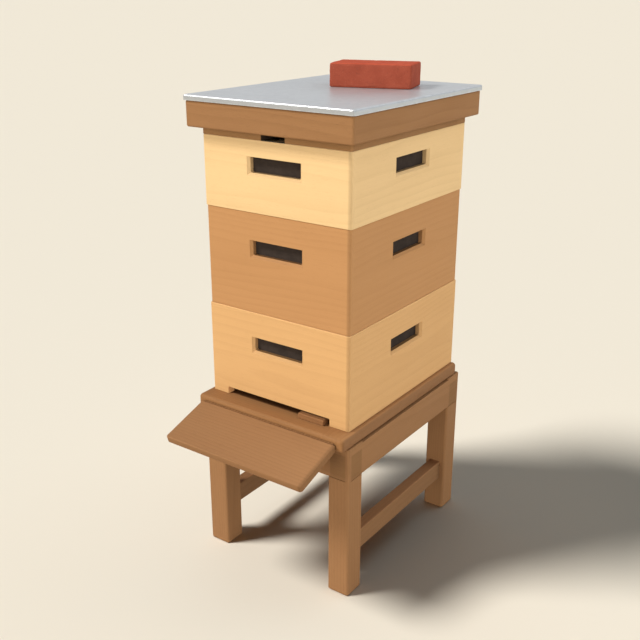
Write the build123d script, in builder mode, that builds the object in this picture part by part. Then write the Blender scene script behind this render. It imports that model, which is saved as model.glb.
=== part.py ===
from build123d import *
import math
import os

os.makedirs("parts", exist_ok=True)

# ---------------------------------------------------------------------------
# A stacked wooden hive on a four-legged stand.
# Millimetres, +Z up, floor at Z = 0, hive entrance towards -Y.
# All Y values below are counted from the middle of the hive boxes; CY moves
# that middle so that the whole assembly is centred on the origin.
# ---------------------------------------------------------------------------

# hive boxes
BOX_W = 416.6          # outer width of a box, along X
BOX_D = 512.8          # outer depth of a box, along Y
WALL = 22.0            # board thickness of the box walls
LAP = 12.0             # thickness of the corner lap, front board over side board
BOX_R = 6.0            # rounding of the vertical corners
BOX_EDGE = 2.0         # rounding of the outer top and bottom edges
MID_INSET = 2.0        # the middle box is this much smaller on every side
BROOD_H = 238.5
MIDDLE_H = 245.0
TOP_H = 167.5

# hand-holds in every wall
HAND_W = 154.0         # over the bevelled rim
HAND_H = 43.0
HAND_BEVEL = 6.0       # 45 degree bevel along the slot's lower edge and both ends
HAND_R = 4.0           # corner radius of the slot inside the bevel
HAND_DEEP = 16.0       # open depth, the rest of the slot holds a dark plug
HAND_AT = {"brood": 0.6450, "middle": 0.6425, "top": 0.6423}  # slot centre as a share of box height
HAND_IN_W = HAND_W - 2 * HAND_BEVEL      # the slot inside the bevel
HAND_IN_H = HAND_H - HAND_BEVEL

# frames
REST_DEEP = 11.0       # frame-rest rabbet, into the wall
REST_TALL = 16.0       # frame-rest rabbet, down from the top edge
FRAME_N = 10
FRAME_PITCH = 35.0
BAR_W = 27.0           # top bar width
BAR_LONG = 483.0       # top bar length over the lugs
LUG_T = 10.0
BAR_T = 19.0
FRAME_LONG = 448.0     # length over the end bars
END_T = 9.5
END_W = 33.0
BAR_DROP = 6.0        # top bars lie this far below the box's top edge
FRAME_GAP = 13.0       # box height minus frame height
COMB_T = 24.0

# floor (bottom board)
FLOOR_TOP = 442.5
FLOOR_T = 33.5
FLOOR_HX = 221.5
FLOOR_Y0 = -301.0
FLOOR_Y1 = 259.5
FLOOR_R = 9.0
RAIL_W = 60.0
RAIL_FRONT = 70.0
PANEL_T = 16.0
PANEL_IN = 15.0

# entrance, cut in the front wall of the lowest box
ENT_X0, ENT_X1 = -159.0, 153.5
ENT_H = 20.0
RED_X0, RED_X1 = 67.0, 141.0
RED_Y0, RED_Y1 = -265.0, -233.0
RED_H = 14.3

# stand
LEG = 60.0
LEG_R = 6.0
LEG_HX = 223.0         # outer faces of the legs, +-X
LEG_Y0 = -276.0        # outer face of the front legs
LEG_Y1 = 274.5         # outer face of the rear legs
LEG_TOP = FLOOR_TOP - FLOOR_T
APRON_Z0 = 322.0
APRON_Z1 = 404.5
APRON_T = 22.0
TONGUE_T = 9.0         # lap tongue let into the leg's outer face
TONGUE_IN = 10.0       # the lap stops this far from the leg's outer edge
APRON_R = 2.5
STR_X = 193.0
STR_T = 32.0
STR_Z0 = 94.5
STR_Z1 = 147.5
TENON_T = 16.0
TENON_H = 35.0
TENON_L = 30.0
PEG_R = 4.0
PEG_L = 45.0

# landing board, on a strip hinge along its rear edge
LB_HX = 204.5
LB_Y = -306.0          # rear face, vertical in use
LB_Z = 430.9           # upper rear edge
LB_SLOPE = 18.01
LB_LONG = 143.1
LB_T = 18.5
HINGE_Y = -303.5
HINGE_Z = 430.0
HINGE_L = 396.0
KNUCKLE_R = 2.2
PIN_R = 1.1
PIN_FIT = 0.05
LEAF_T = 1.0
LEAF_TOP = 427.0
LEAF_FIX_Z0 = 418.3
LEAF_MOVE_Z0 = 413.5
WEB_Z0 = 424.5         # the leaf is drawn out to the knuckle from here up
KNUCKLES = 13
KNUCKLE_GAP = 0.4
HS_HEAD, HS_SHANK = 2.4, 1.3
BRACKET_X = 110.0
BRACKET_W = 24.0

# inner cover
IC_H = 21.5
IC_RIM = 45.0
IC_PANEL = 6.0
IC_IN = 10.0
IC_W, IC_D, IC_R = 417.4, 513.4, 6.0
VENT_X0, VENT_X1 = -34.5, 32.5
VENT_H = 14.0

# roof
ROOF_HX = 230.0
ROOF_HY = 286.5
SKIRT_T = 18.0
SKIRT_LAP = 9.0
SKIRT_Z0 = 1111.5
SKIRT_Z1 = 1171.5
ROOF_BOARD = 12.0
CAP_HX = 234.0
CAP_HY = 290.0
CAP_T = 1.0
CAP_R = 5.0            # rounding along the top edge
CAP_CORNER = 5.5       # rounding of the vertical corners
CAP_CLEAR = 0.2
BATTEN_T = 22.0

# loose brick that weighs the roof down
BRICK_L, BRICK_W, BRICK_H = 203.0, 107.0, 57.5
BRICK_X, BRICK_Y, BRICK_TURN = 35.0, 104.0, 17.5
BRICK_R = 5.0

# heights of the stack
Z_BROOD = FLOOR_TOP
Z_MIDDLE = Z_BROOD + BROOD_H
Z_TOP = Z_MIDDLE + MIDDLE_H
Z_IC = Z_TOP + TOP_H
Z_BOARD = SKIRT_Z1
Z_CAP = Z_BOARD + ROOF_BOARD + CAP_T

# landing board profile, in the YZ plane
SL = math.radians(LB_SLOPE)
LB_FT = (LB_Y - LB_LONG * math.cos(SL), LB_Z - LB_LONG * math.sin(SL))
LB_FB = (LB_FT[0] + LB_T * math.sin(SL), LB_FT[1] - LB_T * math.cos(SL))
LB_RB = (LB_Y, LB_FB[1] + (LB_Y - LB_FB[0]) * math.tan(SL))
LB_EDGE = 3.0          # rounding of the front and side edges
LB_BACK = 2.0          # rounding around the rear face
LB_CORNER = 8.0

# foremost point of the landing board once its edge is rounded
LB_FRONT = LB_FT[0] + LB_EDGE * (math.sin(SL) + math.cos(SL)) - LB_EDGE
CY = -(LB_FRONT + CAP_HY) / 2


def save(builder, name):
    """Label a finished piece and write its STEP file."""
    builder.part.label = name
    export_step(builder.part, f"parts/{name}.step")


def block(x0, x1, y0, y1, z0, z1, mode=Mode.ADD):
    """A square-edged block between six planes, Y counted from the hive's middle."""
    with Locations(((x0 + x1) / 2, (y0 + y1) / 2 + CY, (z0 + z1) / 2)):
        Box(abs(x1 - x0), abs(y1 - y0), abs(z1 - z0), mode=mode)


def rod(x, y, z, r, length, axis, mode=Mode.ADD):
    """A round bar that starts at a point and runs along +-X, +-Y or +-Z."""
    turn = {"+X": (0, 90, 0), "-X": (0, -90, 0), "+Y": (-90, 0, 0),
            "-Y": (90, 0, 0), "+Z": (0, 0, 0), "-Z": (180, 0, 0)}[axis]
    with Locations(Location((x, y + CY, z), turn)):
        Cylinder(r, length, align=(Align.CENTER, Align.CENTER, Align.MIN), mode=mode)


def countersunk(x, y, z, axis, head_r, head_t, shank_r, length, mode=Mode.ADD):
    """A countersunk screw, or the hole for one, with its head flush at a point."""
    turn = {"+X": (0, 90, 0), "-X": (0, -90, 0), "+Y": (-90, 0, 0),
            "-Y": (90, 0, 0), "+Z": (0, 0, 0), "-Z": (180, 0, 0)}[axis]
    low = (Align.CENTER, Align.CENTER, Align.MIN)
    body = length - 2 * shank_r
    with Locations(Location((x, y + CY, z), turn)):
        Cylinder(shank_r, body, align=low, mode=mode)
        Cone(head_r, shank_r, head_t, align=low, mode=mode)
        with Locations((0, 0, body)):
            Cone(shank_r, 0.4 * shank_r, 2 * shank_r, align=low, mode=mode)


def shell(w, d, wall, r, edge, z0, h):
    """A four-sided box shell with rounded corners and eased outer edges."""
    with BuildSketch(Plane.XY.offset(z0)) as outline:
        with Locations((0, CY)):
            RectangleRounded(w, d, r)
            Rectangle(w - 2 * wall, d - 2 * wall, mode=Mode.SUBTRACT)
    extrude(outline.sketch, amount=h)
    rim = [e for e in edges()
           if (abs(e.center().Z - z0) < 0.01 or abs(e.center().Z - z0 - h) < 0.01)
           and (abs(e.center().X) > w / 2 - r or abs(e.center().Y - CY) > d / 2 - r)]
    fillet(rim, edge)


def keep_end(w, d, wall, lap, z0, h, s):
    """Cut an open shell down to its front (s = -1) or rear (s = 1) board."""
    with BuildSketch(Plane.XY.offset(z0)) as outline:
        with Locations((0, CY + s * (d - lap) / 2)):
            Rectangle(w + 2, lap)
        with Locations((0, CY + s * (d - wall) / 2)):
            Rectangle(w - 2 * wall, wall)
    extrude(outline.sketch, amount=h, mode=Mode.INTERSECT)


def keep_side(w, d, wall, lap, z0, h, s):
    """Cut an open shell down to its left (s = -1) or right (s = 1) board."""
    with BuildSketch(Plane.XY.offset(z0)) as outline:
        with Locations((s * (w - wall) / 2, CY)):
            Rectangle(wall, d - 2 * lap)
    extrude(outline.sketch, amount=h, mode=Mode.INTERSECT)


def slot_plane(w, d, face):
    """Plane of a wall's outer face, its normal pointing outwards."""
    if face == "front":
        return Plane(origin=(0, CY - d / 2, 0), x_dir=(1, 0, 0), z_dir=(0, -1, 0))
    if face == "rear":
        return Plane(origin=(0, CY + d / 2, 0), x_dir=(-1, 0, 0), z_dir=(0, 1, 0))
    if face == "left":
        return Plane(origin=(-w / 2, CY, 0), x_dir=(0, -1, 0), z_dir=(-1, 0, 0))
    return Plane(origin=(w / 2, CY, 0), x_dir=(0, 1, 0), z_dir=(1, 0, 0))


def hand_slot(w, d, face, zc):
    """A rounded slot right through a wall, bevelled below and at both ends; its upper edge is square."""
    plane = slot_plane(w, d, face)
    with BuildSketch(plane) as outer:
        with Locations((0, zc)):
            Rectangle(HAND_W, HAND_H)
    with BuildSketch(plane.offset(-HAND_BEVEL)) as inner:
        with Locations((0, zc + HAND_BEVEL / 2)):
            Rectangle(HAND_IN_W, HAND_IN_H)
    loft([outer.sketch.faces()[0], inner.sketch.faces()[0]], mode=Mode.SUBTRACT)
    with BuildSketch(plane) as outline:
        with Locations((0, zc + HAND_BEVEL / 2)):
            RectangleRounded(HAND_IN_W, HAND_IN_H, HAND_R)
    extrude(outline.sketch, amount=-WALL, mode=Mode.SUBTRACT)


def make_box(name, inset, z0, h, entrance=False):
    """Four walls with rabbeted corners, hand-holds and their dark plugs."""
    w, d = BOX_W - 2 * inset, BOX_D - 2 * inset
    zc = z0 + HAND_AT[name] * h
    for face, s in (("front", -1), ("rear", 1)):
        with BuildPart() as wall:
            shell(w, d, WALL, BOX_R, BOX_EDGE, z0, h)
            keep_end(w, d, WALL, LAP, z0, h, s)
            # ledge along the inner top edge that carries the frame lugs
            y_in = s * (d / 2 - WALL)
            block(-(w / 2 - WALL), w / 2 - WALL, y_in, y_in + s * REST_DEEP, z0 + h - REST_TALL, z0 + h + 1,
                  mode=Mode.SUBTRACT)
            hand_slot(w, d, face, zc)
            if entrance and face == "front":
                with BuildSketch(slot_plane(w, d, face)):
                    with Locations(((ENT_X0 + ENT_X1) / 2, z0 + ENT_H / 2 - 10)):
                        Rectangle(ENT_X1 - ENT_X0, ENT_H + 20)
                extrude(amount=-WALL, mode=Mode.SUBTRACT)
                corner = [e for e in edges().filter_by(Axis.Y)
                          if min(abs(e.center().X - ENT_X0), abs(e.center().X - ENT_X1)) < 0.01
                          and abs(e.center().Z - z0 - ENT_H) < 0.01]
                fillet(corner, 3)
        save(wall, f"{name}_{face}_wall")
    for face, s in (("left", -1), ("right", 1)):
        with BuildPart() as wall:
            shell(w, d, WALL, BOX_R, BOX_EDGE, z0, h)
            keep_side(w, d, WALL, LAP, z0, h, s)
            hand_slot(w, d, face, zc)
        save(wall, f"{name}_{face}_wall")
    with BuildPart() as plugs:
        for face in ("front", "rear", "left", "right"):
            with BuildSketch(slot_plane(w, d, face).offset(-HAND_DEEP)):
                with Locations((0, zc + HAND_BEVEL / 2)):
                    RectangleRounded(HAND_IN_W, HAND_IN_H, HAND_R)
            extrude(amount=-(WALL - HAND_DEEP))
    save(plugs, f"{name}_handhold_plugs")


def make_frames(name, z0, h):
    """A set of hanging frames (top bars, end bars, bottom bars) and their combs."""
    top = z0 + h - BAR_DROP
    low = top - (h - FRAME_GAP)
    xs = [(i - (FRAME_N - 1) / 2) * FRAME_PITCH for i in range(FRAME_N)]
    inner = FRAME_LONG / 2 - END_T
    with BuildPart() as top_bars:
        for x in xs:
            # full length at the lugs, a shorter lower half between the end bars
            block(x - BAR_W / 2, x + BAR_W / 2, -BAR_LONG / 2, BAR_LONG / 2, top - LUG_T, top)
            block(x - BAR_W / 2, x + BAR_W / 2, -inner, inner, top - BAR_T, top - LUG_T)
    with BuildPart() as end_bars:
        for x in xs:
            for s in (-1, 1):
                block(x - END_W / 2, x + END_W / 2, s * inner, s * FRAME_LONG / 2, low, top - LUG_T)
    with BuildPart() as bottom_bars:
        for x in xs:
            block(x - BAR_T / 2, x + BAR_T / 2, -inner, inner, low, low + END_T)
    with BuildPart() as combs:
        for x in xs:
            block(x - COMB_T / 2, x + COMB_T / 2, -inner, inner, low + END_T, top - BAR_T)
    sticks = Compound(top_bars.part.solids() + end_bars.part.solids() + bottom_bars.part.solids())
    sticks.label = f"{name}_frame_sticks"
    export_step(sticks, f"parts/{name}_frame_sticks.step")
    save(combs, f"{name}_combs")


# ---------------------------------------------------------------------------
# stand: four legs, four aprons lapped into them, two side stretchers, pegs
# ---------------------------------------------------------------------------
LEGS = {"leg_front_left": (-1, -1), "leg_front_right": (1, -1),
        "leg_rear_left": (-1, 1), "leg_rear_right": (1, 1)}


def leg_span(s, side):
    """Inner and outer face of a leg along X (side 'x') or along Y (side 'y')."""
    out = s * LEG_HX if side == "x" else (LEG_Y0 if s < 0 else LEG_Y1)
    return out - s * LEG, out


for name, (sx, sy) in LEGS.items():
    xi, xo = leg_span(sx, "x")
    yi, yo = leg_span(sy, "y")
    with BuildPart() as leg:
        with BuildSketch(Plane.XY):
            with Locations(((xi + xo) / 2, (yi + yo) / 2 + CY)):
                RectangleRounded(LEG, LEG, LEG_R)
        extrude(amount=LEG_TOP)
        chamfer(edges().group_by(Axis.Z)[0], 3)
        fillet(edges().group_by(Axis.Z)[-1], 3)
        # stopped laps for the aprons, in the outer end face and the outer side face
        block(xi, xo - sx * TONGUE_IN, yo, yo - sy * TONGUE_T, APRON_Z0, APRON_Z1, mode=Mode.SUBTRACT)
        block(xo, xo - sx * TONGUE_T, yi, yo - sy * TONGUE_IN, APRON_Z0, APRON_Z1, mode=Mode.SUBTRACT)
        # mortise for the stretcher and the peg that locks it
        zc = (STR_Z0 + STR_Z1) / 2
        block(sx * STR_X - TENON_T / 2, sx * STR_X + TENON_T / 2, yi, yi + sy * TENON_L,
              zc - TENON_H / 2, zc + TENON_H / 2, mode=Mode.SUBTRACT)
        rod(min(xi, xo), yi + sy * TENON_L / 2, zc, PEG_R, PEG_L, "+X", mode=Mode.SUBTRACT)
        # pilot hole for the floor screw
        rod((xi + xo) / 2, (yi + yo) / 2, LEG_TOP, 2.5, 40, "-Z", mode=Mode.SUBTRACT)
    save(leg, name)

XI = LEG_HX - LEG
Y_FI, Y_RI = LEG_Y0 + LEG, LEG_Y1 - LEG

for name, s, yo in (("apron_front", -1, LEG_Y0), ("apron_rear", 1, LEG_Y1)):
    with BuildPart() as apron:
        block(-XI, XI, yo, yo - s * APRON_T, APRON_Z0, APRON_Z1)
        block(-(LEG_HX - TONGUE_IN), LEG_HX - TONGUE_IN, yo, yo - s * TONGUE_T, APRON_Z0, APRON_Z1)
        fillet([e for e in edges().filter_by(Axis.X) if abs(e.center().Y - yo - CY) < 0.01], APRON_R)
        if s < 0:
            # holes for the screws that hold the landing brackets
            for x in (-BRACKET_X, BRACKET_X):
                for z in (350.0, 385.0):
                    countersunk(x, yo + APRON_T, z, "-Y", 5.0, 4.0, 2.25, 50, mode=Mode.SUBTRACT)
    save(apron, name)

for name, s in (("apron_left", -1), ("apron_right", 1)):
    xo = s * LEG_HX
    with BuildPart() as apron:
        block(xo, xo - s * APRON_T, Y_FI, Y_RI, APRON_Z0, APRON_Z1)
        block(xo, xo - s * TONGUE_T, LEG_Y0 + TONGUE_IN, LEG_Y1 - TONGUE_IN, APRON_Z0, APRON_Z1)
        fillet([e for e in edges().filter_by(Axis.Y) if abs(e.center().X - xo) < 0.01], APRON_R)
    save(apron, name)

for name, s in (("stretcher_left", -1), ("stretcher_right", 1)):
    zc = (STR_Z0 + STR_Z1) / 2
    with BuildPart() as stretcher:
        block(s * STR_X - STR_T / 2, s * STR_X + STR_T / 2, Y_FI, Y_RI, STR_Z0, STR_Z1)
        fillet(edges().filter_by(Axis.Y), 3)
        block(s * STR_X - TENON_T / 2, s * STR_X + TENON_T / 2, Y_FI - TENON_L, Y_RI + TENON_L,
              zc - TENON_H / 2, zc + TENON_H / 2)
        for y in (Y_FI - TENON_L / 2, Y_RI + TENON_L / 2):
            rod(s * STR_X - TENON_T / 2, y, zc, PEG_R, TENON_T, "+X", mode=Mode.SUBTRACT)
    save(stretcher, name)

with BuildPart() as pegs:
    for sx, sy in LEGS.values():
        xi, xo = leg_span(sx, "x")
        yi, yo = leg_span(sy, "y")
        rod(min(xi, xo), yi + sy * TENON_L / 2, (STR_Z0 + STR_Z1) / 2, PEG_R, PEG_L, "+X")
save(pegs, "stretcher_pegs")

# ---------------------------------------------------------------------------
# floor: four rails with a panel let into them, screwed down on the legs
# ---------------------------------------------------------------------------
FLOOR_X = FLOOR_HX - RAIL_W
PAN_Y0 = FLOOR_Y0 + RAIL_FRONT
PAN_Y1 = FLOOR_Y1 - RAIL_W
FLOOR_SCREWS = [(sx * (LEG_HX - LEG / 2), LEG_Y0 + LEG / 2 if sy < 0 else LEG_Y1 - LEG / 2)
                for sx, sy in LEGS.values()]


def floor_slab():
    """The whole floor outline with every outer edge rounded."""
    with BuildSketch(Plane.XY.offset(FLOOR_TOP - FLOOR_T)) as outline:
        with Locations((0, (FLOOR_Y0 + FLOOR_Y1) / 2 + CY)):
            RectangleRounded(2 * FLOOR_HX, FLOOR_Y1 - FLOOR_Y0, FLOOR_R + 1)
    extrude(outline.sketch, amount=FLOOR_T)
    fillet(edges().group_by(Axis.Z)[-1] + edges().group_by(Axis.Z)[0], FLOOR_R)


def floor_recess():
    """Opening in the middle and the ledge that carries the panel."""
    block(-FLOOR_X, FLOOR_X, PAN_Y0, PAN_Y1, FLOOR_TOP - FLOOR_T - 1, FLOOR_TOP + 1, mode=Mode.SUBTRACT)
    block(-(FLOOR_X + PANEL_IN), FLOOR_X + PANEL_IN, PAN_Y0 - PANEL_IN, PAN_Y1 + PANEL_IN,
          FLOOR_TOP - PANEL_T, FLOOR_TOP + 1, mode=Mode.SUBTRACT)


for name, s in (("floor_rail_left", -1), ("floor_rail_right", 1)):
    with BuildPart() as rail:
        floor_slab()
        block(s * FLOOR_X, s * (FLOOR_HX + 1), FLOOR_Y0 - 1, FLOOR_Y1 + 1, 0, FLOOR_TOP + 1, mode=Mode.INTERSECT)
        floor_recess()
        for x, y in FLOOR_SCREWS:
            if x * s > 0:
                countersunk(x, y, FLOOR_TOP, "-Z", 5.5, 4.0, 2.5, FLOOR_T + 40, mode=Mode.SUBTRACT)
    save(rail, name)

HINGE_SCREW_X = [-150.0, -90.0, -30.0, 30.0, 90.0, 150.0]
FIX_Z = 421.8
MOVE_Z = 419.0
with BuildPart() as rail:
    floor_slab()
    block(-FLOOR_X, FLOOR_X, FLOOR_Y0 - 1, PAN_Y0, 0, FLOOR_TOP + 1, mode=Mode.INTERSECT)
    floor_recess()
    for x in HINGE_SCREW_X:
        rod(x, FLOOR_Y0, FIX_Z, HS_SHANK, 18 - LEAF_T, "+Y", mode=Mode.SUBTRACT)
save(rail, "floor_rail_front")

with BuildPart() as rail:
    floor_slab()
    block(-FLOOR_X, FLOOR_X, PAN_Y1, FLOOR_Y1 + 1, 0, FLOOR_TOP + 1, mode=Mode.INTERSECT)
    floor_recess()
save(rail, "floor_rail_rear")

with BuildPart() as panel:
    block(-(FLOOR_X + PANEL_IN), FLOOR_X + PANEL_IN, PAN_Y0 - PANEL_IN, PAN_Y1 + PANEL_IN,
          FLOOR_TOP - PANEL_T, FLOOR_TOP)
save(panel, "floor_panel")

with BuildPart() as screws:
    for x, y in FLOOR_SCREWS:
        countersunk(x, y, FLOOR_TOP, "-Z", 5.5, 4.0, 2.5, FLOOR_T + 36)
save(screws, "floor_screws")

# ---------------------------------------------------------------------------
# landing board: sloping flap on one strip hinge, carried by two brackets
# ---------------------------------------------------------------------------
with BuildPart() as flap:
    with BuildSketch(Plane(origin=(-LB_HX, CY, 0), x_dir=(0, 1, 0), z_dir=(1, 0, 0))):
        with BuildLine():
            Polyline((LB_Y, LB_Z), LB_FT, LB_FB, LB_RB, close=True)
        make_face()
    extrude(amount=2 * LB_HX)
    front = [e for e in edges()
             if abs(e.length - LB_T) < 0.1 and e.center().Y - CY < LB_Y - 60]
    fillet(front, LB_CORNER)
    up = Vector(0, -math.sin(SL), math.cos(SL))
    plates = [f for f in faces() if abs(abs(f.normal_at().dot(up)) - 1) < 1e-4]
    rim = [e for f in plates for e in f.edges() if e.center().Y - CY < LB_Y - 1]
    fillet(rim, LB_EDGE)
    back = [f for f in faces() if abs(f.center().Y - CY - LB_Y) < 0.01]
    fillet(back[0].edges(), LB_BACK)
    for x in HINGE_SCREW_X:
        rod(x, LB_Y, MOVE_Z, HS_SHANK, 16, "-Y", mode=Mode.SUBTRACT)
save(flap, "landing_board")


def knuckle_spans(fixed):
    """X spans of the knuckles on the fixed or on the moving leaf of the hinge."""
    pitch = HINGE_L / KNUCKLES
    out = []
    for i in range(KNUCKLES):
        if (i % 2 == 0) == fixed:
            x0 = -HINGE_L / 2 + i * pitch
            a = 0.0 if i == 0 else KNUCKLE_GAP / 2
            b = 0.0 if i == KNUCKLES - 1 else KNUCKLE_GAP / 2
            out.append((x0 + a, x0 + pitch - b))
    return out


with BuildPart() as fixed_leaf:
    block(-HINGE_L / 2, HINGE_L / 2, FLOOR_Y0 - LEAF_T, FLOOR_Y0, LEAF_FIX_Z0, LEAF_TOP)
    for x0, x1 in knuckle_spans(True):
        block(x0, x1, HINGE_Y, FLOOR_Y0, WEB_Z0, HINGE_Z)
        rod(x0, HINGE_Y, HINGE_Z, KNUCKLE_R, x1 - x0, "+X")
        rod(x0, HINGE_Y, HINGE_Z, PIN_R, x1 - x0, "+X", mode=Mode.SUBTRACT)
    for x in HINGE_SCREW_X:
        countersunk(x, FLOOR_Y0 - LEAF_T, FIX_Z, "+Y", HS_HEAD, LEAF_T, HS_SHANK, 18, mode=Mode.SUBTRACT)
save(fixed_leaf, "hinge_leaf_fixed")

with BuildPart() as moving_leaf:
    block(-HINGE_L / 2, HINGE_L / 2, LB_Y, LB_Y + LEAF_T, LEAF_MOVE_Z0, LEAF_TOP)
    for x0, x1 in knuckle_spans(False):
        block(x0, x1, LB_Y, HINGE_Y, WEB_Z0, HINGE_Z - 1.2)
        block(x0, x1, HINGE_Y - KNUCKLE_R, HINGE_Y, WEB_Z0, HINGE_Z)
        rod(x0, HINGE_Y, HINGE_Z, KNUCKLE_R, x1 - x0, "+X")
        rod(x0, HINGE_Y, HINGE_Z, PIN_R + PIN_FIT, x1 - x0, "+X", mode=Mode.SUBTRACT)
    for x in HINGE_SCREW_X:
        countersunk(x, LB_Y + LEAF_T, MOVE_Z, "-Y", HS_HEAD, LEAF_T, HS_SHANK, 16, mode=Mode.SUBTRACT)
save(moving_leaf, "hinge_leaf_moving")

with BuildPart() as pin:
    rod(-HINGE_L / 2, HINGE_Y, HINGE_Z, PIN_R, HINGE_L, "+X")
save(pin, "hinge_pin")

with BuildPart() as screws:
    for x in HINGE_SCREW_X:
        countersunk(x, LB_Y + LEAF_T, MOVE_Z, "-Y", HS_HEAD, LEAF_T, HS_SHANK, 16)
save(screws, "hinge_screws_moving")

with BuildPart() as brackets:
    under = lambda y: LB_RB[1] + (y - LB_Y) * math.tan(SL) - 0.3
    tip = -402.0
    for x in (-BRACKET_X, BRACKET_X):
        with BuildSketch(Plane(origin=(x - BRACKET_W / 2, CY, 0), x_dir=(0, 1, 0), z_dir=(1, 0, 0))):
            with BuildLine():
                Polyline((LEG_Y0, LEG_TOP), (-313.0, LEG_TOP - 0.4), (-315.0, under(-315.0)), (tip, under(tip)),
                         (tip, under(tip) - 14.0), (LEG_Y0 - 14.0, 326.0), (LEG_Y0, 326.0), close=True)
            make_face()
        extrude(amount=BRACKET_W)
    for x in (-BRACKET_X, BRACKET_X):
        for z in (350.0, 385.0):
            rod(x, LEG_Y0, z, 2.25, 24, "-Y", mode=Mode.SUBTRACT)
save(brackets, "landing_brackets")

with BuildPart() as screws:
    for x in HINGE_SCREW_X:
        countersunk(x, FLOOR_Y0 - LEAF_T, FIX_Z, "+Y", HS_HEAD, LEAF_T, HS_SHANK, 18)
    for x in (-BRACKET_X, BRACKET_X):
        for z in (350.0, 385.0):
            countersunk(x, LEG_Y0 + APRON_T, z, "-Y", 5.0, 4.0, 2.25, 44)
save(screws, "landing_screws_fixed")

# ---------------------------------------------------------------------------
# entrance reducer: loose block that closes one end of the entrance
# ---------------------------------------------------------------------------
with BuildPart() as reducer:
    block(RED_X0, RED_X1, RED_Y0, RED_Y1, FLOOR_TOP + 0.2, FLOOR_TOP + 0.2 + RED_H)
    fillet(edges(), 2.2)
save(reducer, "entrance_reducer")

# ---------------------------------------------------------------------------
# the three boxes and their frames
# ---------------------------------------------------------------------------
make_box("brood", 0.0, Z_BROOD, BROOD_H, entrance=True)
make_frames("brood", Z_BROOD, BROOD_H)
make_box("middle", MID_INSET, Z_MIDDLE, MIDDLE_H)
make_frames("middle", Z_MIDDLE, MIDDLE_H)
make_box("top", 0.0, Z_TOP, TOP_H)
make_frames("top", Z_TOP, TOP_H)

# ---------------------------------------------------------------------------
# inner cover: four rims and a panel, with a vent notch in the front rim
# ---------------------------------------------------------------------------
IC_Z1 = Z_IC + IC_H


def cover_ring():
    """Rim ring with the rabbet for the panel."""
    shell(IC_W, IC_D, IC_RIM, IC_R, 2.0, Z_IC, IC_H)
    block(-(IC_W / 2 - IC_RIM + IC_IN), IC_W / 2 - IC_RIM + IC_IN, -(IC_D / 2 - IC_RIM + IC_IN),
          IC_D / 2 - IC_RIM + IC_IN, IC_Z1 - IC_PANEL, IC_Z1 + 1, mode=Mode.SUBTRACT)


for face, s in (("front", -1), ("rear", 1)):
    with BuildPart() as rim_board:
        cover_ring()
        keep_end(IC_W, IC_D, IC_RIM, IC_RIM, Z_IC, IC_H, s)
        if s < 0:
            block(VENT_X0, VENT_X1, -IC_D / 2 - 1, -IC_D / 2 + IC_RIM + 1, Z_IC - 1, Z_IC + VENT_H,
                  mode=Mode.SUBTRACT)
    save(rim_board, f"inner_cover_rim_{face}")

with BuildPart() as rim_board:
    cover_ring()
    with BuildSketch(Plane.XY.offset(Z_IC)):
        with Locations((0, CY)):
            Rectangle(IC_W + 2, IC_D - 2 * IC_RIM)
    extrude(amount=IC_H, mode=Mode.INTERSECT)
save(rim_board, "inner_cover_side_rims")

with BuildPart() as panel:
    with BuildSketch(Plane.XY.offset(IC_Z1 - IC_PANEL)):
        with Locations((0, CY)):
            Rectangle(IC_W - 2 * IC_RIM + 2 * IC_IN, IC_D - 2 * IC_RIM + 2 * IC_IN)
            SlotOverall(110, 40, mode=Mode.SUBTRACT)
    extrude(amount=IC_PANEL)
save(panel, "inner_cover_panel")

# ---------------------------------------------------------------------------
# roof: four skirt boards, two rest battens, a top board and a sheet-metal cap
# ---------------------------------------------------------------------------
RW, RD, RH = 2 * ROOF_HX, 2 * ROOF_HY, SKIRT_Z1 - SKIRT_Z0
ROOF_SCREWS = [(sx * 120.0, sy * (ROOF_HY - SKIRT_T / 2)) for sx in (-1, 1) for sy in (-1, 1)] + \
              [(sx * (ROOF_HX - SKIRT_T / 2), y) for sx in (-1, 1) for y in (-150.0, 150.0)]

for face, s in (("front", -1), ("rear", 1)):
    with BuildPart() as skirt:
        shell(RW, RD, SKIRT_T, 5.0, 4.5, SKIRT_Z0, RH)
        keep_end(RW, RD, SKIRT_T, SKIRT_LAP, SKIRT_Z0, RH, s)
        for x, y in ROOF_SCREWS:
            if abs(y) > 200 and y * s > 0:
                rod(x, y, SKIRT_Z1, 2.0, 30, "-Z", mode=Mode.SUBTRACT)
    save(skirt, f"roof_skirt_{face}")
for face, s in (("left", -1), ("right", 1)):
    with BuildPart() as skirt:
        shell(RW, RD, SKIRT_T, 5.0, 4.5, SKIRT_Z0, RH)
        keep_side(RW, RD, SKIRT_T, SKIRT_LAP, SKIRT_Z0, RH, s)
        for x, y in ROOF_SCREWS:
            if abs(y) < 200 and x * s > 0:
                rod(x, y, SKIRT_Z1, 2.0, 30, "-Z", mode=Mode.SUBTRACT)
    save(skirt, f"roof_skirt_{face}")

with BuildPart() as battens:
    for s in (-1, 1):
        block(s * (ROOF_HX - SKIRT_T - BATTEN_T), s * (ROOF_HX - SKIRT_T), -(ROOF_HY - SKIRT_T), ROOF_HY - SKIRT_T,
              IC_Z1, SKIRT_Z1)
save(battens, "roof_rest_battens")

with BuildPart() as board:
    with BuildSketch(Plane.XY.offset(Z_BOARD)):
        with Locations((0, CY)):
            Rectangle(2 * (CAP_HX - CAP_T - CAP_CLEAR), 2 * (CAP_HY - CAP_T - CAP_CLEAR))
    extrude(amount=ROOF_BOARD)
    fillet(edges().filter_by(Axis.Z), CAP_CORNER - CAP_T + 0.1)
    fillet(edges().group_by(Axis.Z)[-1], CAP_R - CAP_T + 0.2)
    for x, y in ROOF_SCREWS:
        countersunk(x, y, Z_BOARD + ROOF_BOARD, "-Z", 4.5, 3.0, 2.0, ROOF_BOARD + 30, mode=Mode.SUBTRACT)
save(board, "roof_board")

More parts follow.
